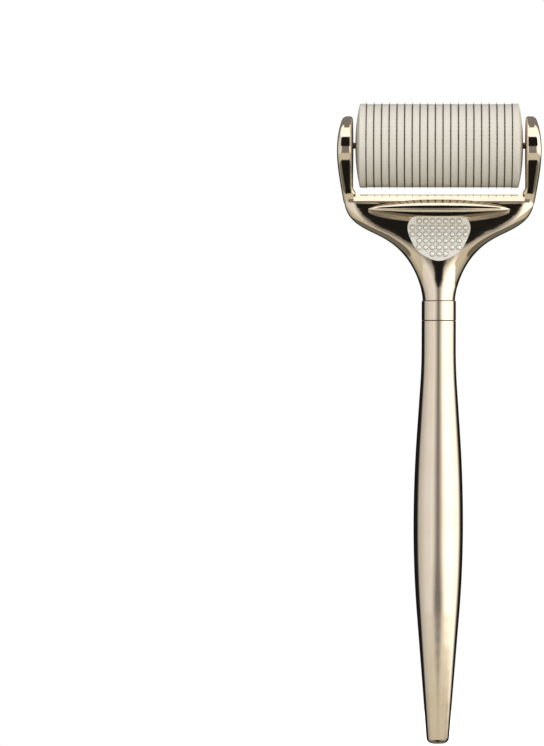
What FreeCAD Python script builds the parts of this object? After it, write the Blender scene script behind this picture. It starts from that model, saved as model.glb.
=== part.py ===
"""Derma roller: a drum of needle discs that rolls in a fork on a long turned handle.

Frame: +Z runs up the handle to the fork, X lies along the drum's axle, and the thumb pad faces -Y.
The origin is on the handle's axis, where the grip is thickest. Millimetres.
"""
import FreeCAD, Part
import Sketcher
import math
import os

from FreeCAD import Placement, Rotation, Vector

DISC_COUNT = 20
SPACER_COUNT = DISC_COUNT - 1

document = FreeCAD.newDocument("DermaRoller")

# ---------------------------------------------------------------- driving dimensions
sheet = document.addObject("Spreadsheet::Sheet", "Sizes")
DIMENSIONS = [
    # handle: radii at named heights, and the radii of the long arcs between them
    ("handle_top", 53.6),
    ("neck_radius", 4.48),
    ("neck_foot", 46.5),
    ("neck_bend", 149.2),
    ("flank_top", 36.0),
    ("flank_top_radius", 4.85),
    ("belly_top", 24.0),
    ("belly_top_radius", 5.652),
    ("belly_arc_above", 348.0),
    ("grip_radius", 6.48),
    ("belly_arc_below", 287.0),
    ("belly_foot", 23.0),
    ("belly_foot_radius", 5.557),
    ("tail_radius", 2.95),
    ("tail_length", 57.0),
    ("tail_rounding", 1.5),
    ("insert_radius", 3.2),
    ("insert_length", 16.0),
    ("insert_recess", 0.4),
    ("socket_point", 2.0),
    ("joint_chamfer", 0.15),
    # collar and stud
    ("collar_top", 58.9),
    ("collar_chamfer", 0.25),
    ("stud_radius", 2.0),
    ("stud_into_handle", 14.0),
    ("stud_into_fork", 7.0),
    ("stud_clearance", 0.05),
    ("stud_chamfer", 0.4),
    # fork
    ("fork_neck_radius", 4.28),
    ("plate_foot", 59.9),
    ("plate_half_depth", 1.8),
    ("plate_rim", 4.2),
    ("flat_from", 64.5),
    ("flat_to", 74.0),
    ("plate_tuck_from", 83.5),
    ("plate_tuck", 0.3),
    ("bridge_top", 86.5),
    ("bridge_bottom", 84.4),
    ("arm_inner", 22.6),
    ("arm_corner", 2.5),
    ("arm_top", 107.1),
    ("arm_edge_rounding", 1.4),
    ("arm_inner_rounding", 0.8),
    ("ear_radius", 8.8),
    ("flank_lean", 30.0),
    ("bridge_half_depth", 3.2),
    ("bevel_tilt", 22.0),
    ("bevel_height", 1.7),
    ("bevel_half_length", 22.3),
    ("brow_half_length", 18.5),
    ("brow_height", 82.6),
    ("brow_radius", 2.5),
    ("brow_forward", 5.6),
    # thumb pad
    ("pad_top", 80.7),
    ("pad_bottom", 69.2),
    ("pad_half_width", 8.2),
    ("pad_sink", 0.9),
    ("pad_proud", 0.35),
    ("dot_pitch", 1.73),
    ("dot_radius", 0.62),
    ("dot_height", 0.35),
    # axle
    ("axle_height", 99.4),
    ("axle_radius", 0.8),
    ("axle_half_length", 25.6),
    ("axle_cap_radius", 1.7),
    ("axle_cap_end", 26.5),
    # drum
    ("disc_pitch", 2.0),
    ("disc_thickness", 0.25),
    ("disc_body_radius", 10.85),
    ("needle_tip_radius", 11.4),
    ("needle_root", 0.05),
    ("needle_half_base", 0.3),
    ("needle_count", 60),
    ("spacer_radius", 10.9),
    ("spacer_chamfer", 0.12),
    ("core_radius", 4.0),
    ("core_bore_radius", 2.5),
    ("core_half_length", 20.0),
    ("cap_radius", 11.0),
    ("cap_flange_end", 20.7),
    ("cap_dome_end", 21.9),
    ("cap_hole_radius", 1.1),
    ("bush_bore_radius", 0.85),
    ("bush_length", 6.0),
    # how far a cutting tool reaches past what it cuts
    ("run_out", 2.0),
]
for row, (alias, value) in enumerate(DIMENSIONS, start=1):
    sheet.set(f"A{row}", alias)
    sheet.set(f"B{row}", str(value))
    sheet.setAlias(f"B{row}", alias)
document.recompute()


def size(alias):
    """One driving dimension, read from the sheet."""
    return float(getattr(sheet, alias))


def formula(text):
    """Write {name} as the cell Sizes.name."""
    return text.replace("{", "Sizes.").replace("}", "")


def bind(feature, **formulas):
    """Tie a feature's properties to formulas; a double underscore in a name stands for a dot."""
    for target, text in formulas.items():
        feature.setExpression(target.replace("__", "."), formula(text))


subparts = []


def keep(feature, label):
    """Name a finished sub-part; its label is its file's name."""
    feature.Label = label
    subparts.append(feature)
    return feature


# ---------------------------------------------------------------- ways of building
ALONG_X = Rotation(Vector(0, 1, 0), 90)


def bar_along_x(name, radius, start, end):
    """A round bar on the axle's line, from start to end."""
    bar = document.addObject("Part::Cylinder", name)
    bar.Placement = Placement(Vector(0, 0, 0), ALONG_X)
    bind(bar, Radius=radius, Height=f"({end}) - ({start})")
    bind(bar, Placement__Base__x=start, Placement__Base__z="{axle_height}")
    return bar


def bar_along_z(name, radius, start, end):
    """A round bar on the handle's axis, from start to end."""
    bar = document.addObject("Part::Cylinder", name)
    bind(bar, Radius=radius, Height=f"({end}) - ({start})", Placement__Base__z=start)
    return bar


def cut(name, base, tool):
    """Take one feature away from another."""
    result = document.addObject("Part::Cut", name)
    result.Base = base
    result.Tool = tool
    return result


def fuse(name, pieces):
    """Join several features into one solid."""
    result = document.addObject("Part::MultiFuse", name)
    result.Shapes = pieces
    return result


def shaped(name, shape):
    """A feature whose shape is worked out from the sheet by Part's own functions."""
    feature = document.addObject("Part::Feature", name)
    feature.Shape = shape
    return feature


def new_sketch(body, name, role):
    """A new sketch on the body's own origin plane with this role."""
    sketch = body.newObject("Sketcher::SketchObject", name)
    plane = next(item for item in body.Origin.OriginFeatures if item.Role == role)
    sketch.AttachmentSupport = [(plane, "")]
    sketch.MapMode = "FlatFace"
    return sketch


def draw_outline(sketch, corners):
    """Draw a closed outline and pin it to the sheet.

    Each corner is (across, up) or (across, up, radius, side): the run that ends there is straight, or an arc
    of that radius that bulges to its right (side 1) or its left (side -1).
    """

    def value(text):
        return float(sheet.evalExpression(formula(text)))

    places = [Vector(value(corner[0]), value(corner[1]), 0) for corner in corners]
    pieces, ends = [], []
    for index, corner in enumerate(corners):
        first, last = places[index - 1], places[index]
        if len(corner) == 2:
            pieces.append(Part.LineSegment(first, last))
            ends.append((1, 2))
            continue
        radius, side = value(corner[2]), corner[3]
        chord = last - first
        rise = radius - math.sqrt(radius ** 2 - (chord.Length / 2) ** 2)
        middle = (first + last) / 2 + Vector(chord.y, -chord.x, 0).normalize() * rise * side
        pieces.append(Part.Arc(first, middle, last) if side > 0 else Part.Arc(last, middle, first))
        ends.append((1, 2) if side > 0 else (2, 1))
    sketch.addGeometry(pieces, False)
    for index, corner in enumerate(corners):
        following = (index + 1) % len(corners)
        end = ends[index][1]
        sketch.addConstraint(Sketcher.Constraint("Coincident", index, end, following, ends[following][0]))
        for kind, text in (("DistanceX", corner[0]), ("DistanceY", corner[1])):
            number = sketch.addConstraint(Sketcher.Constraint(kind, -1, 1, index, end, value(text)))
            sketch.setExpression(f"Constraints[{number}]", formula(text))
        if len(corner) > 2:
            radius = sketch.Geometry[index].Radius
            number = sketch.addConstraint(Sketcher.Constraint("Radius", index, radius))
            sketch.setExpression(f"Constraints[{number}]", formula(corner[2]))


def turn(body, name, sketch, axis, kind="PartDesign::Revolution"):
    """Turn a profile once about one of its sketch's axes."""
    feature = body.newObject(kind, name)
    feature.Profile = sketch
    feature.ReferenceAxis = (sketch, [axis])
    feature.Angle = 360
    body.Tip = feature
    return feature


# ---------------------------------------------------------------- handle
def handle():
    """Turned grip: straight neck, concave run, two belly arcs, straight taper and a rounded tail."""
    body = document.addObject("PartDesign::Body", "HandleBody")
    profile = new_sketch(body, "HandleProfile", "XZ_Plane")
    draw_outline(profile, [
        ("0", "-{tail_length}"),
        ("{tail_radius} - {tail_rounding}", "-{tail_length}"),
        ("{tail_radius}", "-{tail_length} + {tail_rounding}", "{tail_rounding}", 1),
        ("{belly_foot_radius}", "-{belly_foot}"),
        ("{grip_radius}", "0", "{belly_arc_below}", 1),
        ("{belly_top_radius}", "{belly_top}", "{belly_arc_above}", 1),
        ("{flank_top_radius}", "{flank_top}"),
        ("{neck_radius}", "{neck_foot}", "{neck_bend}", -1),
        ("{neck_radius}", "{handle_top} - {joint_chamfer}"),
        ("{neck_radius} - {joint_chamfer}", "{handle_top}"),
        ("0", "{handle_top}"),
    ])
    turn(body, "HandleTurned", profile, "V_Axis")
    document.recompute()
    socket = new_sketch(body, "InsertSocket", "XZ_Plane")
    draw_outline(socket, [
        ("0", "{handle_top} + {run_out}"),
        ("0", "{handle_top} - {insert_length} - {socket_point}"),
        ("{insert_radius}", "{handle_top} - {insert_length}"),
        ("{insert_radius}", "{handle_top} + {run_out}"),
    ])
    turn(body, "InsertSocketCut", socket, "V_Axis", "PartDesign::Groove")
    return keep(body, "handle")


def handle_insert():
    """Threaded bush pressed into the handle's top."""
    foot, top = "{handle_top} - {insert_length}", "{handle_top} - {insert_recess}"
    outer = bar_along_z("InsertBar", "{insert_radius}", foot, top)
    bore = bar_along_z("InsertBore", "{stud_radius}", foot + " - {run_out}", top + " + {run_out}")
    return keep(cut("Insert", outer, bore), "handle_insert")


def neck_stud():
    """Stud screwed into the handle's insert and the fork's neck, chamfered at both ends."""
    bar = bar_along_z(
        "StudBar", "{stud_radius}", "{handle_top} - {stud_into_handle}", "{collar_top} + {stud_into_fork}"
    )
    document.recompute()
    chamfered = document.addObject("Part::Chamfer", "Stud")
    chamfered.Base = bar
    chamfer = size("stud_chamfer")
    chamfered.Edges = [(number, chamfer, chamfer) for number in round_edges(bar.Shape)]
    return keep(chamfered, "neck_stud")


def round_edges(shape):
    """Numbers of the shape's circular edges."""
    return [number for number, edge in enumerate(shape.Edges, start=1) if isinstance(edge.Curve, Part.Circle)]


def neck_collar():
    """Plated ring between handle and fork, with a small chamfer at each rim."""
    body = document.addObject("PartDesign::Body", "CollarBody")
    profile = new_sketch(body, "CollarProfile", "XZ_Plane")
    draw_outline(profile, [
        ("{stud_radius} + {stud_clearance}", "{handle_top}"),
        ("{neck_radius} - {joint_chamfer}", "{handle_top}"),
        ("{neck_radius}", "{handle_top} + {joint_chamfer}"),
        ("{neck_radius}", "{collar_top} - {collar_chamfer}"),
        ("{neck_radius} - {collar_chamfer}", "{collar_top}"),
        ("{stud_radius} + {stud_clearance}", "{collar_top}"),
    ])
    turn(body, "CollarTurned", profile, "V_Axis")
    return keep(body, "neck_collar")


# ---------------------------------------------------------------- fork
# half width and height of the fork's outer edge: round neck, wide flare, shoulder, and the arm's long bow
NECK_SIDE = [(size("fork_neck_radius"), size("collar_top") + above) for above in (-2.0, 0.7)]
FLARE_SIDE = [(5.5, 64.5), (8.5, 70.0), (13.7, 74.7), (19.7, 77.8), (23.5, 81.0)]
ARM_SIDE = [(25.4, 87.0), (26.5, 95.0), (26.55, 99.5), (25.9, 104.2), (25.0, size("arm_top") + 0.3)]


def side_line():
    """The fork's outer edge as one smooth curve."""
    curve = Part.BSplineCurve()
    curve.interpolate([Vector(across, 0, up) for across, up in NECK_SIDE + FLARE_SIDE + ARM_SIDE])
    return curve


SIDE_LINE = side_line()


def half_width(height):
    """The fork's half width at a height, found on the side line by halving."""
    low, high = SIDE_LINE.FirstParameter, SIDE_LINE.LastParameter
    for _ in range(50):
        middle = (low + high) / 2
        if SIDE_LINE.value(middle).z < height:
            low = middle
        else:
            high = middle
    return SIDE_LINE.value(low).x


def front_depth(height):
    """Half depth of neck and plate: it thins at a steady slope up to the bridge, eased in at the foot."""
    foot, top, ease = size("plate_foot"), size("bridge_top"), 0.12
    share = max(0.0, (height - foot) / (top - foot))
    thinned = share ** 2 / (2 * ease) if share < ease else share - ease / 2
    neck, thin = size("fork_neck_radius"), size("plate_half_depth")
    return neck - (neck - thin) * thinned / (1 - ease / 2)


def rim_width(height):
    """How far the rounded rim reaches in from the edge: all of the round neck, a narrow band on the plate."""
    low, high = size("flat_from"), size("flat_to")
    share = min(1.0, max(0.0, (height - low) / (high - low)))
    eased = share ** 2 * (3 - 2 * share)
    return half_width(height) * (1 - eased) + size("plate_rim") * eased


def section_point(height, angle):
    """Half width and half depth at an angle of a level section: elliptic rims with a flat run between."""
    tuck_from, top = size("plate_tuck_from"), size("bridge_top")
    tucked = size("plate_tuck") * max(0.0, (height - tuck_from) / (top - tuck_from))
    rim = rim_width(height)
    flat = half_width(height) - tucked - rim
    flatness = 24
    across = rim * math.cos(angle) + flat * (1 - (2 * angle / math.pi) ** flatness)
    return across, front_depth(height) * math.sin(angle)


def front_of_plate(across, height):
    """Y of the plate's front face, found by halving the angle."""
    low, high = 0.0, math.pi / 2
    for _ in range(40):
        middle = (low + high) / 2
        if section_point(height, middle)[0] > abs(across):
            low = middle
        else:
            high = middle
    return -section_point(height, low)[1]


def plate_section(height):
    """One level section of the neck and plate: a circle at the neck that widens into a flat bar."""
    steps = 16
    angles = [math.pi / 2 * (1 - (1 - step / steps) ** 2) for step in range(steps + 1)]
    quarter = [section_point(height, angle) for angle in angles]
    upper = quarter + [(-across, deep) for across, deep in quarter[-2::-1]]
    lower = [(-across, -deep) for across, deep in upper[1:-1]]
    curve = Part.BSplineCurve()
    curve.interpolate([Vector(across, deep, height) for across, deep in upper + lower], PeriodicFlag=True)
    return Part.Wire(curve.toShape())


def plate():
    """Neck and flared plate, lofted through evenly spaced level sections."""
    foot, top, levels = size("collar_top"), size("bridge_top"), 16
    heights = [foot + (top - foot) * level / (levels - 1) for level in range(levels)]
    return Part.makeLoft([plate_section(height) for height in heights], True, False)


def arms_front_prism():
    """The U of arms and bridge, seen from the front and drawn out along Y, taller than the arms."""
    inner, corner = size("arm_inner"), size("arm_corner")
    bridge, foot = size("bridge_top"), size("bridge_bottom")
    above_arms = 0.2
    top = size("arm_top") + above_arms
    depth = 2 * (size("ear_radius") + size("run_out"))
    outer = SIDE_LINE.copy()
    outer.segment(
        SIDE_LINE.parameter(Vector(half_width(foot), 0, foot)),
        SIDE_LINE.parameter(Vector(half_width(top), 0, top)),
    )
    outer.translate(Vector(0, -depth / 2, 0))

    def at(x, z):
        return Vector(x, -depth / 2, z)

    corner_middle = corner * (1 - math.sqrt(0.5))
    corner_arc = Part.Arc(
        at(inner, bridge + corner),
        at(inner - corner_middle, bridge + corner_middle),
        at(inner - corner, bridge),
    )
    right = [
        outer.toShape(),
        Part.LineSegment(outer.EndPoint, at(inner, top)).toShape(),
        Part.LineSegment(at(inner, top), at(inner, bridge + corner)).toShape(),
        corner_arc.toShape(),
    ]
    left = [edge.mirror(Vector(0, 0, 0), Vector(1, 0, 0)) for edge in right]
    across_bridge = Part.LineSegment(at(inner - corner, bridge), at(corner - inner, bridge)).toShape()
    foot_corner = outer.StartPoint
    across_foot = Part.LineSegment(foot_corner, at(-foot_corner.x, foot)).toShape()
    edges = Part.__sortEdges__(right + [across_bridge] + left + [across_foot])
    return Part.Face(Part.Wire(edges)).extrude(Vector(0, depth, 0))


def arms_side_prism():
    """The ear seen from the side, drawn out along X: round cap, leaning flanks, hollow curves below."""
    ear, bridge, foot = size("ear_radius"), size("bridge_half_depth"), size("bridge_bottom")
    centre = size("arm_top") - ear
    half_length = size("axle_half_length") + 2 * size("run_out")
    lean = math.radians(size("flank_lean"))
    flank_y, flank_z = ear * math.cos(lean), centre - ear * math.sin(lean)
    under = ((flank_z - foot) * math.sin(lean) - (flank_y - bridge) * math.cos(lean)) / (1 - math.cos(lean))

    def at(y, z):
        return Vector(-half_length, y, z)

    def under_curve(share, side):
        """A point on the hollow curve, from the flank's foot (share 0) to the bridge's (share 1)."""
        angle = lean * (1 - share)
        return at(side * (bridge + under * (1 - math.cos(angle))), foot + under * math.sin(angle))

    outline = [
        Part.Arc(at(-flank_y, flank_z), at(0, centre + ear), at(flank_y, flank_z)),
        Part.LineSegment(at(flank_y, flank_z), under_curve(0, 1)),
        Part.Arc(under_curve(0, 1), under_curve(0.5, 1), under_curve(1, 1)),
        Part.LineSegment(under_curve(1, 1), under_curve(1, -1)),
        Part.Arc(under_curve(1, -1), under_curve(0.5, -1), under_curve(0, -1)),
        Part.LineSegment(under_curve(0, -1), at(-flank_y, flank_z)),
    ]
    return Part.Face(Part.Wire([piece.toShape() for piece in outline])).extrude(Vector(2 * half_length, 0, 0))


def arms():
    """Arms and bridge: what the front and side prisms share, with the long edges rounded."""
    blank = document.addObject("Part::MultiCommon", "ArmsBlank")
    blank.Shapes = [shaped("ArmsFront", arms_front_prism()), shaped("ArmsSide", arms_side_prism())]
    document.recompute()
    foot, bridge, inner = size("bridge_bottom"), size("bridge_top"), size("arm_inner")
    roundings = []
    near = 0.05
    for number, edge in enumerate(blank.Shape.Edges, start=1):
        box = edge.BoundBox
        level = box.ZLength < near
        across_arm = level and box.XLength > 1 and box.Center.z > bridge + near
        if (level and box.YLength > 1) or across_arm or box.ZMax < foot + near:
            continue
        is_outer = box.XMin > inner + near or box.XMax < -inner - near
        radius = size("arm_edge_rounding") if is_outer else size("arm_inner_rounding")
        roundings.append((number, radius, radius))
    rounded = document.addObject("Part::Fillet", "Arms")
    rounded.Base = blank
    rounded.Edges = roundings
    return rounded


def bridge_bevel(side):
    """What is planed off the bridge's upper edge on one side, leaving a long leaning face."""
    tilt, half_length = math.radians(size("bevel_tilt")), size("bevel_half_length")
    deep, top = size("bridge_half_depth"), size("bridge_top")
    foot = top - size("bevel_height")
    lean = (top - foot + size("run_out")) * math.tan(tilt)
    corners = [(deep, foot), (deep + size("run_out"), foot), (deep - lean, top + size("run_out"))]
    places = [Vector(-half_length, side * y, z) for y, z in corners]
    return Part.Face(Part.makePolygon(places + places[:1])).extrude(Vector(2 * half_length, 0, 0))


def brow():
    """The roll above the thumb pad: a spindle along X with a web that ties it to the plate behind."""
    length, radius = size("brow_half_length"), size("brow_radius")
    forward, height = -size("brow_forward"), size("brow_height")
    swell = [(-1.0, 0.0), (-0.93, 0.25), (-0.75, 0.58), (-0.45, 0.88), (0.0, 1.0)]
    swell += [(-along, out) for along, out in reversed(swell[:-1])]
    curve = Part.BSplineCurve()
    curve.interpolate([Vector(along * length, forward, height + out * radius) for along, out in swell])
    chord = Part.LineSegment(Vector(length, forward, height), Vector(-length, forward, height))
    half = Part.Face(Part.Wire([curve.toShape(), chord.toShape()]))
    spindle = half.revolve(Vector(0, forward, height), Vector(1, 0, 0), 360)
    lower = half.mirror(Vector(0, forward, height), Vector(0, 0, 1))
    web = half.extrude(Vector(0, -forward, 0)).fuse(lower.extrude(Vector(0, -forward, 0)))
    return spindle.fuse(web)


PAD_SIDE = [(0.0, 0.0), (0.35, 0.07), (0.70, 0.245), (0.915, 0.52), (1.0, 0.76), (0.93, 0.92), (0.72, 1.0)]


def pad_outline_face():
    """The thumb pad's outline on the sloping floor of its pocket: a round-bottomed shield, flat on top."""
    top, bottom, width = size("pad_top"), size("pad_bottom"), size("pad_half_width")
    slope = (front_depth(bottom) - front_depth(top)) / (top - bottom)

    def on_floor(across, share):
        up = share * (top - bottom)
        return Vector(across * width, size("pad_sink") + slope * up - front_depth(bottom), bottom + up)

    right = [on_floor(across, share) for across, share in PAD_SIDE]
    left = [on_floor(-across, share) for across, share in PAD_SIDE[:0:-1]]
    curve = Part.BSplineCurve()
    curve.interpolate(left + right)
    return Part.Face(Part.Wire([curve.toShape(), Part.LineSegment(right[-1], left[0]).toShape()]))


def pad_block():
    """Everything in front of the pocket's floor, inside the pad's outline."""
    return pad_outline_face().extrude(Vector(0, -size("ear_radius"), 0))


def thumb_pad(plate_feature):
    """Satin inlay that stands a little proud of the plate, with rows of raised dots."""
    raised = plate_feature.Shape.translated(Vector(0, -size("pad_proud"), 0))
    slab = raised.common(pad_block())
    pitch, dot, rise = size("dot_pitch"), size("dot_radius"), size("dot_height")
    ball_radius = (dot ** 2 + rise ** 2) / (2 * rise)
    face = pad_outline_face()
    balls = []
    columns, rows = 4, 6
    margin = 0.25
    first_row = size("pad_top") - dot - 2 * margin
    for row in range(rows):
        for column in range(-columns, columns + 1):
            across, height = column * pitch, first_row - row * pitch
            start = Vector(across, -size("ear_radius"), height)
            probe = Part.makeCylinder(dot + margin, size("ear_radius"), start, Vector(0, 1, 0))
            covered = probe.common(face).Area / (math.pi * (dot + margin) ** 2)
            if abs(covered - 1) > 0.05:
                continue
            surface = front_of_plate(across, height) - size("pad_proud")
            balls.append(Part.makeSphere(ball_radius, Vector(across, surface - rise + ball_radius, height)))
    return keep(shaped("ThumbPad", slab.fuse(balls)), "thumb_pad")


def fork_head():
    """The fork's casting, with its axle holes, the plugs' seats, the stud's hole and the pad's pocket."""
    plate_feature = shaped("Plate", plate())
    front, back = shaped("BevelFront", bridge_bevel(-1)), shaped("BevelBack", bridge_bevel(1))
    beveled_arms = cut("BeveledArms", arms(), fuse("BridgeBevels", [front, back]))
    body = fuse("ForkBlank", [beveled_arms, plate_feature, shaped("Brow", brow())])
    past = "{axle_half_length} + {run_out}"
    stud_foot, stud_head = "{collar_top} - {run_out}", "{collar_top} + {stud_into_fork} + {run_out} / 2"
    seats = [
        bar_along_x("AxleHole", "{axle_radius}", f"-({past})", past),
        bar_along_x("CapSeatRight", "{axle_cap_radius}", "{axle_half_length}", past),
        bar_along_x("CapSeatLeft", "{axle_cap_radius}", f"-({past})", "-{axle_half_length}"),
        bar_along_z("StudHole", "{stud_radius}", stud_foot, stud_head),
        shaped("PadPocket", pad_block()),
    ]
    tools = fuse("ForkTools", seats)
    fork = keep(cut("Fork", body, tools), "fork_head")
    thumb_pad(plate_feature)
    return fork


# ---------------------------------------------------------------- axle
def axle():
    """Dark steel rod through both arms, and the two plugs that close its holes."""
    keep(bar_along_x("AxleRod", "{axle_radius}", "-{axle_half_length}", "{axle_half_length}"), "axle_rod")
    right = bar_along_x("CapRight", "{axle_cap_radius}", "{axle_half_length}", "{axle_cap_end}")
    left = bar_along_x("CapLeft", "{axle_cap_radius}", "-{axle_cap_end}", "-{axle_half_length}")
    keep(right, "axle_cap_right")
    keep(left, "axle_cap_left")


# ---------------------------------------------------------------- drum
def drum_core():
    """Plastic tube that carries the stack; its ends are bored for the bushes."""
    outer = bar_along_x("CoreBar", "{core_radius}", "-{core_half_length}", "{core_half_length}")
    past = "{core_half_length} + {run_out}"
    bore = bar_along_x("CoreBore", "{core_bore_radius}", f"-({past})", past)
    return keep(cut("Core", outer, bore), "drum_core")


def drum_bush(side, start, end):
    """Plain bush in one end of the core; it turns on the rod with a running fit."""
    outer = bar_along_x(f"BushBar{side}", "{core_bore_radius}", start, end)
    bore = bar_along_x(f"BushBore{side}", "{bush_bore_radius}", start + " - {run_out}", end + " + {run_out}")
    return keep(cut(f"Bush{side}", outer, bore), f"drum_bush_{side.lower()}")


def needle_disc(number):
    """Thin steel disc with a ring of needles on its rim, cut from sheet."""
    body = document.addObject("PartDesign::Body", f"DiscBody{number:02d}")
    ring = new_sketch(body, f"DiscRing{number:02d}", "YZ_Plane")
    for alias in ("disc_body_radius", "core_radius"):
        index = ring.addGeometry(Part.Circle(Vector(0, 0, 0), Vector(0, 0, 1), size(alias)), False)
        ring.addConstraint(Sketcher.Constraint("Coincident", index, 3, -1, 1))
        constraint = ring.addConstraint(Sketcher.Constraint("Radius", index, size(alias)))
        ring.setExpression(f"Constraints[{constraint}]", formula("{" + alias + "}"))
    web = body.newObject("PartDesign::Pad", f"DiscWeb{number:02d}")
    web.Profile = ring
    web.Midplane = True
    bind(web, Length="{disc_thickness}")
    tooth = new_sketch(body, f"NeedleOutline{number:02d}", "YZ_Plane")
    draw_outline(tooth, [
        ("{disc_body_radius} - {needle_root}", "-{needle_half_base}"),
        ("{needle_tip_radius}", "0"),
        ("{disc_body_radius} - {needle_root}", "{needle_half_base}"),
    ])
    needle = body.newObject("PartDesign::Pad", f"Needle{number:02d}")
    needle.Profile = tooth
    needle.Midplane = True
    bind(needle, Length="{disc_thickness}")
    document.recompute()
    needles = body.newObject("PartDesign::PolarPattern", f"Needles{number:02d}")
    needles.Originals = [needle]
    needles.Axis = (tooth, ["N_Axis"])
    needles.Angle = 360
    bind(needles, Occurrences="{needle_count}")
    body.Tip = needles
    bind(body, Placement__Base__z="{axle_height}")
    bind(body, Placement__Base__x="{disc_pitch} * " + f"({number - 1} - {(DISC_COUNT - 1) / 2})")
    return keep(body, f"needle_disc_{number:02d}")


def spacer(number):
    """Cream ring between two discs; its rim edges are slightly broken."""
    body = document.addObject("PartDesign::Body", f"SpacerBody{number:02d}")
    profile = new_sketch(body, f"SpacerProfile{number:02d}", "XZ_Plane")
    half = "({disc_pitch} - {disc_thickness}) / 2"
    draw_outline(profile, [
        (f"-{half}", "{core_radius}"),
        (half, "{core_radius}"),
        (half, "{spacer_radius} - {spacer_chamfer}"),
        (half + " - {spacer_chamfer}", "{spacer_radius}"),
        (f"-{half}" + " + {spacer_chamfer}", "{spacer_radius}"),
        (f"-{half}", "{spacer_radius} - {spacer_chamfer}"),
    ])
    turn(body, f"SpacerTurned{number:02d}", profile, "H_Axis")
    bind(body, Placement__Base__z="{axle_height}")
    bind(body, Placement__Base__x="{disc_pitch} * " + f"({number - 1} - {(SPACER_COUNT - 1) / 2})")
    return keep(body, f"spacer_{number:02d}")


def end_cap(side, direction):
    """Cream flange at one end of the stack: a short rim, a shallow dome and a hole for the rod."""
    body = document.addObject("PartDesign::Body", f"EndCapBody{side}")
    profile = new_sketch(body, f"EndCapProfile{side}", "XZ_Plane")
    inner = "{disc_pitch} * " + f"{(DISC_COUNT - 1) / 2}" + " + {disc_thickness} / 2"
    reach, rise = "({cap_radius} - {cap_hole_radius})", "({cap_dome_end} - {cap_flange_end})"
    dome = f"({reach}^2 + {rise}^2) / (2 * {rise})"
    sign = "" if direction > 0 else "-"

    def along(text):
        return f"{sign}({text})"

    draw_outline(profile, [
        (along(inner), "{core_radius}"),
        (along(inner), "{cap_radius}"),
        (along("{cap_flange_end}"), "{cap_radius}"),
        (along("{cap_dome_end}"), "{cap_hole_radius}", dome, -direction),
        (along("{core_half_length}"), "{cap_hole_radius}"),
        (along("{core_half_length}"), "{core_radius}"),
    ])
    turn(body, f"EndCapTurned{side}", profile, "H_Axis")
    bind(body, Placement__Base__z="{axle_height}")
    return keep(body, f"end_cap_{side.lower()}")


# ---------------------------------------------------------------- build, check and write
handle()
handle_insert()
neck_stud()
neck_collar()
fork_head()
axle()
drum_core()
drum_bush("Right", "{core_half_length} - {bush_length}", "{core_half_length}")
drum_bush("Left", "-{core_half_length}", "-{core_half_length} + {bush_length}")
for disc_number in range(1, DISC_COUNT + 1):
    needle_disc(disc_number)
for spacer_number in range(1, SPACER_COUNT + 1):
    spacer(spacer_number)
end_cap("Right", 1)
end_cap("Left", -1)
document.recompute()

for feature in document.Objects:
    if "Invalid" in feature.State or "Error" in feature.State:
        raise RuntimeError(f"{feature.Name} did not build: {feature.State}")
for feature in subparts:
    if feature.Shape.isNull() or not feature.Shape.isValid():
        raise RuntimeError(f"{feature.Label} has no valid shape")

os.makedirs("parts", exist_ok=True)
for feature in subparts:
    feature.Shape.exportStep(os.path.join("parts", feature.Label + ".step"))
    print(f"{feature.Label:16s} {len(feature.Shape.Solids)} solid {feature.Shape.Volume:10.2f} mm3")
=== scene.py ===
"""Derma roller: a plated handle and fork that carry a drum of needle discs on a steel rod.

The sections follow the order in which the roller is put together, from the handle up to the drum.
"""
import math

import bmesh
import bpy
import numpy as np
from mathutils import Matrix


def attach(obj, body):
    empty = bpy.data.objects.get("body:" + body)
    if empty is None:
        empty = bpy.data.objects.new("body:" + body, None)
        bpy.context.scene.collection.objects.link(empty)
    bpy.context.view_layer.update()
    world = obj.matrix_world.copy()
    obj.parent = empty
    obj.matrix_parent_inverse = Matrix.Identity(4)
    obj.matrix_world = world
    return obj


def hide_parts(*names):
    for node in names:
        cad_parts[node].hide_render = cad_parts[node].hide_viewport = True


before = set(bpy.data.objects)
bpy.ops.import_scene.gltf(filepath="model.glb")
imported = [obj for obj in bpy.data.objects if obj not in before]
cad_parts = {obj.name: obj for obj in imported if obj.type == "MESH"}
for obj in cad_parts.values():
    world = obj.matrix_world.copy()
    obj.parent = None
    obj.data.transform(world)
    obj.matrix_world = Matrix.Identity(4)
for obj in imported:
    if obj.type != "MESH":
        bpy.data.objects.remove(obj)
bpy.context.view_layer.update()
mm = 0.001

# ============================================================ handle
# One long grip turned from brass bar, polished and plated in champagne gold. Its neck, hollow flank, belly
# and taper are one smooth line, the tail is rounded, and a fine chamfer marks the joint at the top.


class Wire:
    """One output of a shader node, on which arithmetic is written as in Python."""

    def __init__(self, shader, socket):
        self.shader = shader
        self.socket = socket

    def calculate(self, operation, first, second):
        return self.shader.add("ShaderNodeMath", {"operation": operation}, [first, second])

    def __add__(self, other):
        return self.calculate("ADD", self, other)

    def __sub__(self, other):
        return self.calculate("SUBTRACT", self, other)

    def __rsub__(self, other):
        return self.calculate("SUBTRACT", other, self)

    def __mul__(self, other):
        return self.calculate("MULTIPLY", self, other)

    __radd__ = __add__
    __rmul__ = __mul__

    def rises(self, low, high):
        """0 below low, 1 above high, and smooth between."""
        values = {"Value": self, "From Min": low, "From Max": high}
        return self.shader.add("ShaderNodeMapRange", {"interpolation_type": "SMOOTHSTEP"}, values)

    def between(self, low, high, soft):
        """1 from low to high and 0 outside, with soft borders of this width."""
        half = soft / 2
        return self.rises(low - half, low + half) * (1 - self.rises(high - half, high + half))


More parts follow.
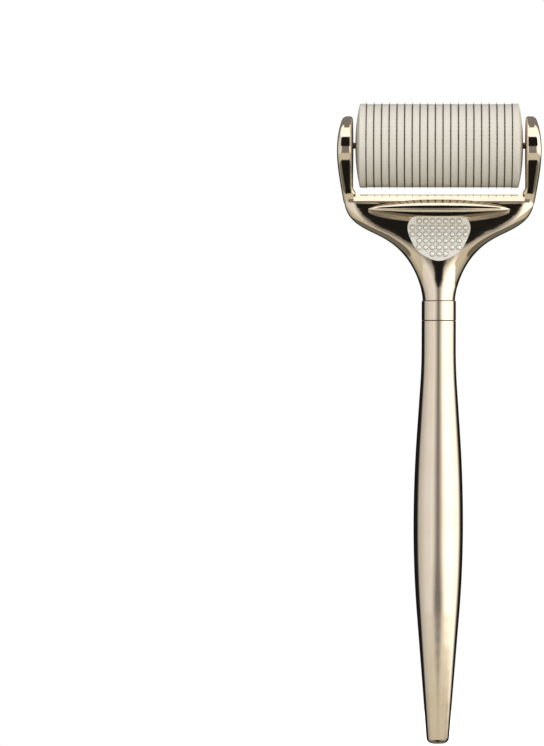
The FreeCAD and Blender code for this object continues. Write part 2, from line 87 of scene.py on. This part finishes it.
class Shader:
    """Builds one node tree: add() makes any node, and the others name what is used often."""

    def __init__(self, tree):
        self.tree = tree
        tree.nodes.clear()

    def add(self, kind, settings=None, values=(), output=0):
        """A node of this kind with its settings, and its inputs set to plain values or linked to wires."""
        node = self.tree.nodes.new(kind)
        for name, setting in (settings or {}).items():
            setattr(node, name, setting)
        pairs = values.items() if isinstance(values, dict) else enumerate(values)
        for key, value in pairs:
            if isinstance(value, Wire):
                self.tree.links.new(value.socket, node.inputs[key])
            else:
                node.inputs[key].default_value = value
        return Wire(self, node.outputs[output]) if node.outputs else node

    def noise(self, scale, detail, roughness=0.5):
        """Cloudy noise over object coordinates: scale is per metre, one for all axes or one for each."""
        place = self.add("ShaderNodeTexCoord", output="Object")
        if isinstance(scale, tuple):
            place = self.add("ShaderNodeMapping", None, {"Vector": place, "Scale": scale})
            scale = 1.0
        values = {"Vector": place, "Scale": scale, "Detail": detail, "Roughness": roughness}
        return self.add("ShaderNodeTexNoise", None, values)

    def blend(self, share, first, second):
        """A colour between two colours."""
        return self.add("ShaderNodeMix", {"data_type": "RGBA"}, {0: share, 6: first, 7: second}, output=2)

    def bump(self, height, distance, strength=1.0):
        """A normal tilted by a height, where distance is the relief's full depth in metres."""
        values = {"Height": height, "Strength": strength, "Distance": distance}
        return self.add("ShaderNodeBump", None, values)

    def surface(self, **values):
        """Ends the tree in a Principled surface; an underscore in a name stands for a space."""
        named = {name.replace("_", " "): value for name, value in values.items()}
        shading = self.add("ShaderNodeBsdfPrincipled", None, named)
        self.add("ShaderNodeOutputMaterial", None, {"Surface": shading})


def new_material(name):
    """An empty node material and the builder of its tree."""
    material = bpy.data.materials.new(name)
    material.use_nodes = True
    return material, Shader(material.node_tree)


def plated_metal(name, lines_scale):
    """Champagne plating: clouded colour, fine polishing lines, a trace of waviness and handling scuffs."""
    material, shader = new_material(name)
    cloud = shader.noise(120, 3)
    lines = shader.noise(lines_scale, 4, 0.65)
    scuffs = shader.noise(1400, 6, 0.75).rises(0.60, 0.80)
    waviness = shader.noise(190, 1)
    shader.surface(
        Base_Color=shader.blend(cloud.rises(0.3, 0.7), (0.88, 0.745, 0.572, 1), (0.84, 0.70, 0.515, 1)),
        Metallic=1.0,
        Roughness=0.05 + 0.035 * lines + 0.07 * scuffs,
        Normal=shader.bump(0.8 * waviness + 0.2 * lines, 0.000035, 0.35),
    )
    return material


def dress(node, material):
    """Gives a carried-over piece its finish."""
    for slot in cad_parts[node].material_slots:
        slot.material = material


def straight(start, end, step):
    """Points about a step apart along a straight run, its end left out: start + share * (end - start)."""
    start, end = np.array(start), np.array(end)
    count = max(1, int(np.ceil(np.linalg.norm(end - start) / step)))
    return start + np.linspace(0, 1, count, endpoint=False)[:, None] * (end - start)


def arc(start, end, radius, side, step):
    """Points about a step apart along an arc of this radius, its end left out.

    It bulges to the right of its run where side is 1, and to the left where side is -1.
    The centre lies off the chord's middle by the square root of radius squared less half the chord squared.
    """
    start, end = np.array(start), np.array(end)
    chord = end - start
    length = np.linalg.norm(chord)
    across = np.array([chord[1], -chord[0]]) / length * side
    centre = (start + end) / 2 - across * math.sqrt(radius ** 2 - (length / 2) ** 2)
    first = math.atan2(*(start - centre)[::-1])
    turn = 2 * math.asin(length / (2 * radius)) * side
    angles = first + turn * np.linspace(0, 1, max(6, int(length / step)), endpoint=False)
    return centre + radius * np.stack([np.cos(angles), np.sin(angles)], axis=1)


def closed_mesh(name, points, quads):
    """A mesh from a grid's points and quads, with doubled points merged and faces turned outward.

    Edges that turn by more than the crisp angle stay sharp.
    """
    crisp_angle = math.radians(25)
    mesh = bpy.data.meshes.new(name)
    mesh.from_pydata(points.reshape(-1, 3), [], quads.reshape(-1, 4))
    shell = bmesh.new()
    shell.from_mesh(mesh)
    bmesh.ops.remove_doubles(shell, verts=shell.verts, dist=0.0001 * mm)
    bmesh.ops.recalc_face_normals(shell, faces=shell.faces)
    shell.to_mesh(mesh)
    shell.free()
    mesh.polygons.foreach_set("use_smooth", np.ones(len(mesh.polygons), dtype=bool))
    mesh.set_sharp_from_angle(angle=crisp_angle)
    return mesh


def turned(name, profile, along, foot=(0, 0, 0), steps=192):
    """A surface of revolution, closed round its axis.

    A profile point (distance, radius) becomes foot + distance * axis + radius * ring, where ring is
    cos(turn) * u + sin(turn) * v, and u and v are the two directions square to the axis. along is 0 for X
    and 2 for Z.
    """
    profile = np.asarray(profile)
    axis, u, v = np.eye(3)[along], np.eye(3)[(along + 1) % 3], np.eye(3)[(along + 2) % 3]
    turn = np.linspace(0, 2 * np.pi, steps, endpoint=False)
    ring = np.cos(turn)[:, None] * u + np.sin(turn)[:, None] * v
    points = np.array(foot) + profile[:, None, :1] * axis + profile[:, None, 1:] * ring
    index = np.arange(len(profile) * steps).reshape(len(profile), steps)
    nearer, further = index[:-1], index[1:]
    quads = np.stack([nearer, np.roll(nearer, -1, 1), np.roll(further, -1, 1), further], axis=2)
    return closed_mesh(name, points, quads)


def mark_faces(mesh, height, reach, material):
    """Gives a second material, here the painted shade of the joints, to the faces whose middles lie within
    reach of this height.
    """
    mesh.materials.append(material)
    middles = np.empty(len(mesh.polygons) * 3)
    mesh.polygons.foreach_get("center", middles)
    marked = np.abs(middles[2::3] - height) < reach
    slots = np.empty(len(mesh.polygons), dtype=np.int32)
    mesh.polygons.foreach_get("material_index", slots)
    slots[marked] = len(mesh.materials) - 1
    mesh.polygons.foreach_set("material_index", slots)


def place_piece(name, mesh, material, body, slot, *nodes):
    """Puts a finished mesh in the scene, riding on its body and standing for these nodes."""
    if material.name not in mesh.materials:
        mesh.materials.append(material)
    piece = bpy.data.objects.new(name, mesh)
    bpy.context.collection.objects.link(piece)
    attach(piece, body)
    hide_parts(*nodes)


def run_of(*parts):
    """One profile from runs of points, in millimetres, turned into metres."""
    return np.concatenate([np.atleast_2d(part) for part in parts]) * mm


# pairs are (height on the axis, radius), so an arc that runs up the axis bulges outward to its left
coarse_step, tail_step, edge_step = 0.8, 0.2, 0.05
outward, inward = -1, 1
handle_top, neck_radius, joint_chamfer = 53.6, 4.48, 0.15
tail_height, tail_radius, tail_rounding = -57.0, 2.95, 1.5
insert_radius, insert_length, drill_point = 3.2, 16.0, 2.0
belly_foot, grip, belly_top = (-23.0, 5.557), (0.0, 6.48), (24.0, 5.652)
flank_top, neck_foot = (36.0, 4.85), (46.5, neck_radius)
lower_belly_radius, upper_belly_radius, neck_hollow_radius = 287.0, 348.0, 149.2
tail_flat_rim = (tail_height, tail_radius - tail_rounding)
tail_side = (tail_height + tail_rounding, tail_radius)
neck_end = (handle_top - joint_chamfer, neck_radius)
handle_profile = run_of(
    straight((tail_height, 0), tail_flat_rim, coarse_step),
    arc(tail_flat_rim, tail_side, tail_rounding, outward, tail_step),
    straight(tail_side, belly_foot, coarse_step),
    arc(belly_foot, grip, lower_belly_radius, outward, coarse_step),
    arc(grip, belly_top, upper_belly_radius, outward, coarse_step),
    straight(belly_top, flank_top, coarse_step),
    arc(flank_top, neck_foot, neck_hollow_radius, inward, coarse_step),
    straight(neck_foot, neck_end, coarse_step),
    neck_end,
    (handle_top, neck_radius - joint_chamfer),
    (handle_top, insert_radius),
    (handle_top - insert_length, insert_radius),
    (handle_top - insert_length - drill_point, 0),
)
handle_plating = plated_metal("handle_plating", (2400.0, 2400.0, 90.0))
# painted shade and tarnish: the chamfer faces at each joint take this dark mottled brown
joint_shadow, shader = new_material("joint_shadow")
shade_and_tarnish = shader.noise(2200, 4)
shader.surface(
    Base_Color=shader.blend(shade_and_tarnish, (0.10, 0.075, 0.045, 1), (0.22, 0.17, 0.11, 1)),
    Metallic=0.8,
    Roughness=0.45 + 0.2 * shade_and_tarnish,
)
handle_mesh = turned("handle_turned", handle_profile, 2, steps=256)
handle_mesh.materials.append(handle_plating)
mark_faces(handle_mesh, (handle_top - joint_chamfer / 2) * mm, joint_chamfer * mm, joint_shadow)
place_piece("handle_grip", handle_mesh, handle_plating, "root", "plated_handle", "handle")

# ============================================================ handle insert
# A threaded brass bush, pressed into the handle's open end to take the neck's stud. Bright machined brass
# with turning marks round it.
insert_brass, shader = new_material("insert_brass")
turning_marks = shader.noise((200.0, 200.0, 9000.0), 3)
shader.surface(
    Base_Color=shader.blend(turning_marks, (0.72, 0.53, 0.25, 1), (0.83, 0.64, 0.34, 1)),
    Metallic=1.0,
    Roughness=0.24 + 0.16 * turning_marks,
    Normal=shader.bump(turning_marks, 0.00002),
)
dress("handle_insert", insert_brass)

# ============================================================ neck stud
# A plain steel stud that screws into the insert below and the fork's neck above. Zinc-plated, slightly
# mottled, with its thread lines as shallow rings.
stud_steel, shader = new_material("stud_steel")
mottle = shader.noise(2600, 4)
thread_rings = shader.noise((60.0, 60.0, 2500.0), 1)
shader.surface(
    Base_Color=shader.blend(mottle, (0.55, 0.56, 0.57, 1), (0.69, 0.69, 0.68, 1)),
    Metallic=1.0,
    Roughness=0.28 + 0.18 * mottle,
    Normal=shader.bump(thread_rings, 0.00004),
)
dress("neck_stud", stud_steel)

# ============================================================ neck collar
# A plated ring between handle and fork, clamped by the stud. Its rims are chamfered, and painted shade on
# the chamfers makes a fine dark line above it and below it.
collar_top, collar_chamfer, stud_clearance = 58.9, 0.25, 2.05
collar_side_foot = (handle_top + joint_chamfer, neck_radius)
collar_side_top = (collar_top - collar_chamfer, neck_radius)
collar_profile = run_of(
    (handle_top, stud_clearance),
    (handle_top, neck_radius - joint_chamfer),
    straight(collar_side_foot, collar_side_top, coarse_step),
    collar_side_top,
    (collar_top, neck_radius - collar_chamfer),
    (collar_top, stud_clearance),
    (handle_top, stud_clearance),
)
collar_plating = plated_metal("collar_plating", (400.0, 400.0, 2600.0))
collar_mesh = turned("collar_turned", collar_profile, 2, steps=256)
collar_mesh.materials.append(collar_plating)
mark_faces(collar_mesh, (collar_top - collar_chamfer / 2) * mm, collar_chamfer * mm, joint_shadow)
place_piece("collar_ring", collar_mesh, collar_plating, "root", "plated_collar", "neck_collar")

# ============================================================ fork
# A cast head, polished and plated like the handle: round neck, flared plate, brow roll, and two arms
# with round ears that hold the rod.
fork_plating = plated_metal("fork_plating", (900.0, 900.0, 500.0))
dress("fork_head", fork_plating)

# ============================================================ thumb pad
# An inlay set into the plate for the thumb, with rows of raised dots. Bead-blasted before plating, so it is
# satin and paler than the polished metal round it, with painted shade round the foot of each dot.
pad_satin, shader = new_material("pad_satin")
blasting = shader.noise(5200, 3, 0.6)
patches = shader.noise(500, 2)
crevice_rays, dot_reach = {"samples": 8, "only_local": True}, {"Distance": 0.4 * mm}
open_share = shader.add("ShaderNodeAmbientOcclusion", crevice_rays, dot_reach, "AO")
# painted shade: the base colour turns this dark brown where the occlusion test finds the foot of a dot closed
# in
painted_dot_shade = (0.20, 0.16, 0.11, 1)
pad_cream = shader.blend(patches, (0.99, 0.97, 0.88, 1), (0.98, 0.94, 0.82, 1))
shader.surface(
    Base_Color=shader.blend(open_share.rises(0.8, 1.0), painted_dot_shade, pad_cream),
    Metallic=0.3,
    Roughness=0.22 + 0.10 * blasting,
    Normal=shader.bump(blasting, 0.000012),
)
dress("thumb_pad", pad_satin)

# ============================================================ axle
# A dark steel rod pressed through both ears, and a plated plug over each of its ends.
axle_height, plug_start, plug_end, plug_radius, plug_rounding = 99.4, 25.6, 26.5, 1.7, 0.25
axle_steel, shader = new_material("axle_steel")
drawn_lines = shader.noise((120.0, 5200.0, 5200.0), 3)
shader.surface(
    Base_Color=shader.blend(drawn_lines, (0.10, 0.08, 0.06, 1), (0.20, 0.165, 0.12, 1)),
    Metallic=1.0,
    Roughness=0.30 + 0.18 * drawn_lines,
)
dress("axle_rod", axle_steel)

axle_line = (0, 0, axle_height * mm)
for side, direction in (("right", 1), ("left", -1)):
    wall_end = ((plug_end - plug_rounding) * direction, plug_radius)
    face_rim = (plug_end * direction, plug_radius - plug_rounding)
    plug_profile = run_of(
        (plug_start * direction, 0),
        (plug_start * direction, plug_radius),
        arc(wall_end, face_rim, plug_rounding, outward * direction, edge_step),
        face_rim,
        (plug_end * direction, 0),
    )
    plug_mesh = turned(f"axle_plug_{side}_turned", plug_profile, 0, axle_line, 96)
    place_piece(f"axle_plug_{side}", plug_mesh, fork_plating, "root", "plated_fork", f"axle_cap_{side}")

# ============================================================ drum core and bushes
# A moulded tube carries the whole stack, and a slippery white bush in each end runs on the rod.
core_plastic, shader = new_material("core_plastic")
flow = shader.noise((60.0, 700.0, 700.0), 4)
shader.surface(
    Base_Color=shader.blend(flow, (0.30, 0.29, 0.27, 1), (0.38, 0.37, 0.34, 1)),
    Roughness=0.45 + 0.15 * flow,
    Normal=shader.bump(flow, 0.00003),
)
dress("drum_core", core_plastic)

bush_plastic, shader = new_material("bush_plastic")
grain = shader.noise(3000, 3)
shader.surface(
    Base_Color=shader.blend(grain, (0.83, 0.83, 0.80, 1), (0.90, 0.90, 0.88, 1)),
    Roughness=0.34 + 0.12 * grain,
    Normal=shader.bump(grain, 0.00001),
)
dress("drum_bush_right", bush_plastic)
dress("drum_bush_left", bush_plastic)

# ============================================================ needle discs
# Twenty discs etched from thin stainless sheet, each with a ring of fine needles on its rim. They are
# clamped between the spacers, so only their dark rims and needles show.
disc_count, disc_pitch, disc_thickness = 20, 2.0, 0.25
core_radius, disc_radius = 4.0, 10.85
needle_count, needle_tip_radius, needle_half_base, needle_root_depth = 60, 11.4, 0.24, 0.1
needle_steel, shader = new_material("needle_steel")
etching = shader.noise(3800, 4, 0.6)
shader.surface(
    Base_Color=shader.blend(etching, (0.11, 0.095, 0.075, 1), (0.21, 0.185, 0.15, 1)),
    Metallic=1.0,
    Roughness=0.42 + 0.16 * etching,
    Normal=shader.bump(etching, 0.000006),
)


def needle_ring(name, middle):
    """A flat ring with pointed needles.

    The ring is a turned rectangle. A needle is a four-sided point: its base corners stand half a base to
    either side and half a sheet fore and aft, just under the rim, and its tip is one point further out.
    It is copied round by turning every corner by each needle's angle.
    """
    half = disc_thickness / 2
    ring_profile = run_of(
        (middle - half, core_radius), (middle - half, disc_radius), (middle + half, disc_radius),
        (middle + half, core_radius), (middle - half, core_radius),
    )
    ring = turned(name, ring_profile, 0, axle_line, 180)
    root = disc_radius - needle_root_depth
    corners = np.array([
        [middle - half, -needle_half_base, root], [middle + half, -needle_half_base, root],
        [middle + half, needle_half_base, root], [middle - half, needle_half_base, root],
        [middle, 0, needle_tip_radius],
    ]) * mm
    turn = np.arange(needle_count) * 2 * np.pi / needle_count
    cosine, sine = np.cos(turn)[:, None], np.sin(turn)[:, None]
    x = np.broadcast_to(corners[:, 0], (needle_count, len(corners)))
    y = corners[:, 1] * cosine - corners[:, 2] * sine
    z = corners[:, 1] * sine + corners[:, 2] * cosine + axle_height * mm
    sides = np.array([[0, 1, 4], [1, 2, 4], [2, 3, 4], [3, 0, 4]])
    base = np.array([[3, 2, 1], [3, 1, 0]])
    triangles = np.arange(needle_count)[:, None, None] * len(corners) + np.concatenate([sides, base])
    needles = bpy.data.meshes.new(name + "_needles")
    needles.from_pydata(np.stack([x, y, z], axis=2).reshape(-1, 3), [], triangles.reshape(-1, 3))
    both = bmesh.new()
    both.from_mesh(ring)
    both.from_mesh(needles)
    both.to_mesh(ring)
    both.free()
    bpy.data.meshes.remove(needles)
    return ring


for number in range(disc_count):
    middle = disc_pitch * (number - (disc_count - 1) / 2)
    disc_mesh = needle_ring(f"needle_ring_{number + 1:02d}", middle)
    node = f"needle_disc_{number + 1:02d}"
    place_piece(f"needles_{number + 1:02d}", disc_mesh, needle_steel, "drum", "needle_steel", node)

# ============================================================ spacers
# Nineteen moulded rings in a warm cream plastic hold the discs apart. Each has slightly broken rim edges
# and its own faint tone, as rings from different shots of the mould have.
spacer_radius, spacer_chamfer = 10.9, 0.12
drum_cream, shader = new_material("drum_cream")
ring_tone = shader.noise((620.0, 25.0, 25.0), 1)
grain = shader.noise(3600, 4, 0.6)
shader.surface(
    Base_Color=shader.blend(0.6 * ring_tone + 0.4 * grain, (0.70, 0.655, 0.55, 1), (0.77, 0.725, 0.625, 1)),
    Roughness=0.40 + 0.14 * grain,
    Normal=shader.bump(grain, 0.000012),
)
half_spacer = (disc_pitch - disc_thickness) / 2
for number in range(disc_count - 1):
    middle = disc_pitch * (number - (disc_count - 2) / 2)
    left, right = middle - half_spacer, middle + half_spacer
    spacer_profile = run_of(
        (left, core_radius),
        (left, spacer_radius - spacer_chamfer),
        (left + spacer_chamfer, spacer_radius),
        (right - spacer_chamfer, spacer_radius),
        (right, spacer_radius - spacer_chamfer),
        (right, core_radius),
        (left, core_radius),
    )
    spacer_mesh = turned(f"spacer_turned_{number + 1:02d}", spacer_profile, 0, axle_line, 180)
    node = f"spacer_{number + 1:02d}"
    place_piece(f"spacer_ring_{number + 1:02d}", spacer_mesh, drum_cream, "drum", "drum_cream", node)

# ============================================================ end caps
# Two cream caps close the stack, snapped onto the core: a short rim with a softened edge, a shallow dome,
# and a hole that clears the rod.
cap_radius, rim_end, dome_end, cap_hole, core_end = 11.0, 20.7, 21.9, 1.1, 20.0
rim_edge, rim_edge_radius, cap_chamfer, dome_step = 0.3, 0.36, 0.1, 0.3
cap_inner = disc_pitch * (disc_count - 1) / 2 + disc_thickness / 2
dome_reach, dome_rise = cap_radius - cap_hole, dome_end - rim_end
dome_radius = (dome_reach ** 2 + dome_rise ** 2) / (2 * dome_rise)
rim_corner = (rim_end - rim_edge, cap_radius)
dome_foot = (rim_end + cap_chamfer, cap_radius - rim_edge)
dome_top = (dome_end, cap_hole)
for side, direction in (("right", 1), ("left", -1)):
    cap_profile = run_of(
        (cap_inner, core_radius),
        (cap_inner, cap_radius - cap_chamfer),
        (cap_inner + cap_chamfer, cap_radius),
        arc(rim_corner, dome_foot, rim_edge_radius, outward, edge_step),
        arc(dome_foot, dome_top, dome_radius, outward, dome_step),
        dome_top,
        (core_end, cap_hole),
        (core_end, core_radius),
        (cap_inner, core_radius),
    )
    cap_profile[:, 0] *= direction
    cap_mesh = turned(f"end_cap_turned_{side}", cap_profile, 0, axle_line, 192)
    place_piece(f"end_cap_dome_{side}", cap_mesh, drum_cream, "drum", "drum_cream", f"end_cap_{side}")

# ============================================================ studio
# A pale round table under the tail, white all round, and softboxes that show only as light and reflection:
# a cool one on the left, a stronger one on the right, one overhead, and a warm glow from below.
world = bpy.data.worlds.new("studio")
bpy.context.scene.world = world
world.use_nodes = True
sky = Shader(world.node_tree)
direction = sky.add("ShaderNodeTexCoord", output="Generated")
east = sky.add("ShaderNodeSeparateXYZ", None, [direction], output="X")
north = sky.add("ShaderNodeSeparateXYZ", None, [direction], output="Y")
up = sky.add("ShaderNodeSeparateXYZ", None, [direction], output="Z")
degrees = 180 / math.pi
# angles in degrees: to_right is 0 where the camera stands and 90 at the roller's right; above is 90 overhead
to_right = sky.add("ShaderNodeMath", {"operation": "ARCTAN2"}, [east, 0 - north]) * degrees
above = sky.add("ShaderNodeMath", {"operation": "ARCSINE"}, [up]) * degrees
to_left = 0 - to_right
to_side = sky.add("ShaderNodeMath", {"operation": "ABSOLUTE"}, [to_right])

# the two boxes stand on the floor's far edge and end a little above eye level, or much higher at the sides
floor_edge_drop = 0.028
over_floor = above - floor_edge_drop * to_side
box_foot = over_floor.rises(-13.9, -12.6)
box_height = box_foot * (1 - above.rises(9.8, 11.2))
tall_sides = to_side.rises(28, 42) * above.between(10.5, 45, 1.4)
level = box_height + tall_sides

# each box brightens from its inner border outward and fades towards the back; low down it is narrower
narrowing = 10 * (1 - above.rises(-15, -3))
right_inner = (to_right - narrowing).rises(-2, 42)
right_box = right_inner * (1 - 0.14 * to_right.rises(55, 100)) * (1 - to_right.rises(98, 130))
left_inner = (to_left - narrowing).rises(1, 34)
left_box = left_inner * (1 - 0.35 * to_left.rises(50, 105)) * (1 - to_left.rises(100, 118))

# the dim gap between them behind the camera, the box overhead, and what the floor and the room give back
middle_gap = (1 - to_side.rises(15, 45)) * above.between(-13.3, 9.5, 1.5)
in_front = 1 - to_side.rises(105, 125)
overhead = above.between(43, 80, 2) * in_front
past_near_floor = above.rises(-39, -35)
far_floor = (1 - box_foot) * past_near_floor
floor_glow = far_floor * (1 - 0.35 * to_side.rises(60, 100)) * (1 - to_side.rises(98, 126))
side_floor = (1 - past_near_floor) * to_side.rises(25, 45)
ceiling = above.rises(8, 30) * (1 - in_front) + above.rises(78, 82) * in_front
darkness = 0.012
glow = (1.75 * right_box + 0.84 * left_box) * level + 0.21 * middle_gap + 1.35 * overhead
glow = glow + 0.63 * floor_glow + 0.16 * side_floor + 0.22 * ceiling + darkness

cool, neutral, warm = (0.98, 1.0, 1.07, 1), (1.0, 0.985, 1.0, 1), (1.0, 0.98, 0.86, 1)
cool_or_neutral = sky.blend(to_right.rises(-20, 20), cool, neutral)
tint = sky.blend(over_floor.rises(-14.2, -12.6), warm, cool_or_neutral)
seen_directly = sky.add("ShaderNodeLightPath", output="Is Camera Ray")
studio = sky.add("ShaderNodeBackground", None, {"Color": tint, "Strength": glow})
white = sky.add("ShaderNodeBackground", None, {"Color": (1, 1, 1, 1), "Strength": 1.0})
shown = sky.add("ShaderNodeMixShader", None, [seen_directly, studio, white])
sky.add("ShaderNodeOutputWorld", None, {"Surface": shown})

table_white, shader = new_material("table_white")
paper = shader.noise(60, 2)
shader.surface(
    Base_Color=shader.blend(paper, (0.93, 0.93, 0.92, 1), (0.95, 0.95, 0.94, 1)),
    Roughness=0.9,
    Emission_Color=(1, 1, 1, 1),
    Emission_Strength=0.75,
)
table_radius, table_thickness, table_gap = 110.0, 2.0, 0.3
table_top = tail_height - table_gap
table_foot = table_top - table_thickness
table_profile = run_of((table_foot, 0), (table_foot, table_radius), (table_top, table_radius), (table_top, 0))
table = bpy.data.objects.new("table", turned("table_top", table_profile, 2))
table.data.materials.append(table_white)
bpy.context.collection.objects.link(table)
table.visible_glossy = False
table.visible_diffuse = False

# a soft lamp low in front of the roller, which only the matt pieces answer
lamp_distance, lamp_upward = 0.6, math.radians(10)
drum_light = bpy.data.lights.new("drum_light", "AREA")
drum_light.shape = "RECTANGLE"
drum_light.size, drum_light.size_y = 0.5, 0.25
drum_light.energy = 1.4
drum_lamp = bpy.data.objects.new("drum_lamp", drum_light)
drum_lamp.location = (0, -lamp_distance, 0)
drum_lamp.rotation_euler = (math.pi / 2 + lamp_upward, 0, 0)
drum_lamp.visible_glossy = False
bpy.context.collection.objects.link(drum_lamp)

# ============================================================ camera
# Square on to the roller, turned a little so that it stands to the right of the middle, and far enough off
# to be almost without perspective.
camera_distance, camera_height, view_height = 1.1, 0.0398, 0.19545
view_centre, camera_roll, sensor_width = -0.04365, math.radians(-0.14), 36
camera_view = bpy.data.cameras.new("camera_view")
camera = bpy.data.objects.new("camera", camera_view)
bpy.context.collection.objects.link(camera)
bpy.context.scene.camera = camera
camera_view.sensor_width = sensor_width
camera_view.lens = sensor_width * camera_distance / view_height
camera.location = (0, -camera_distance, camera_height)
camera.rotation_euler = (math.pi / 2, camera_roll, math.atan2(-view_centre, camera_distance))
bpy.context.scene.view_settings.view_transform = "Standard"
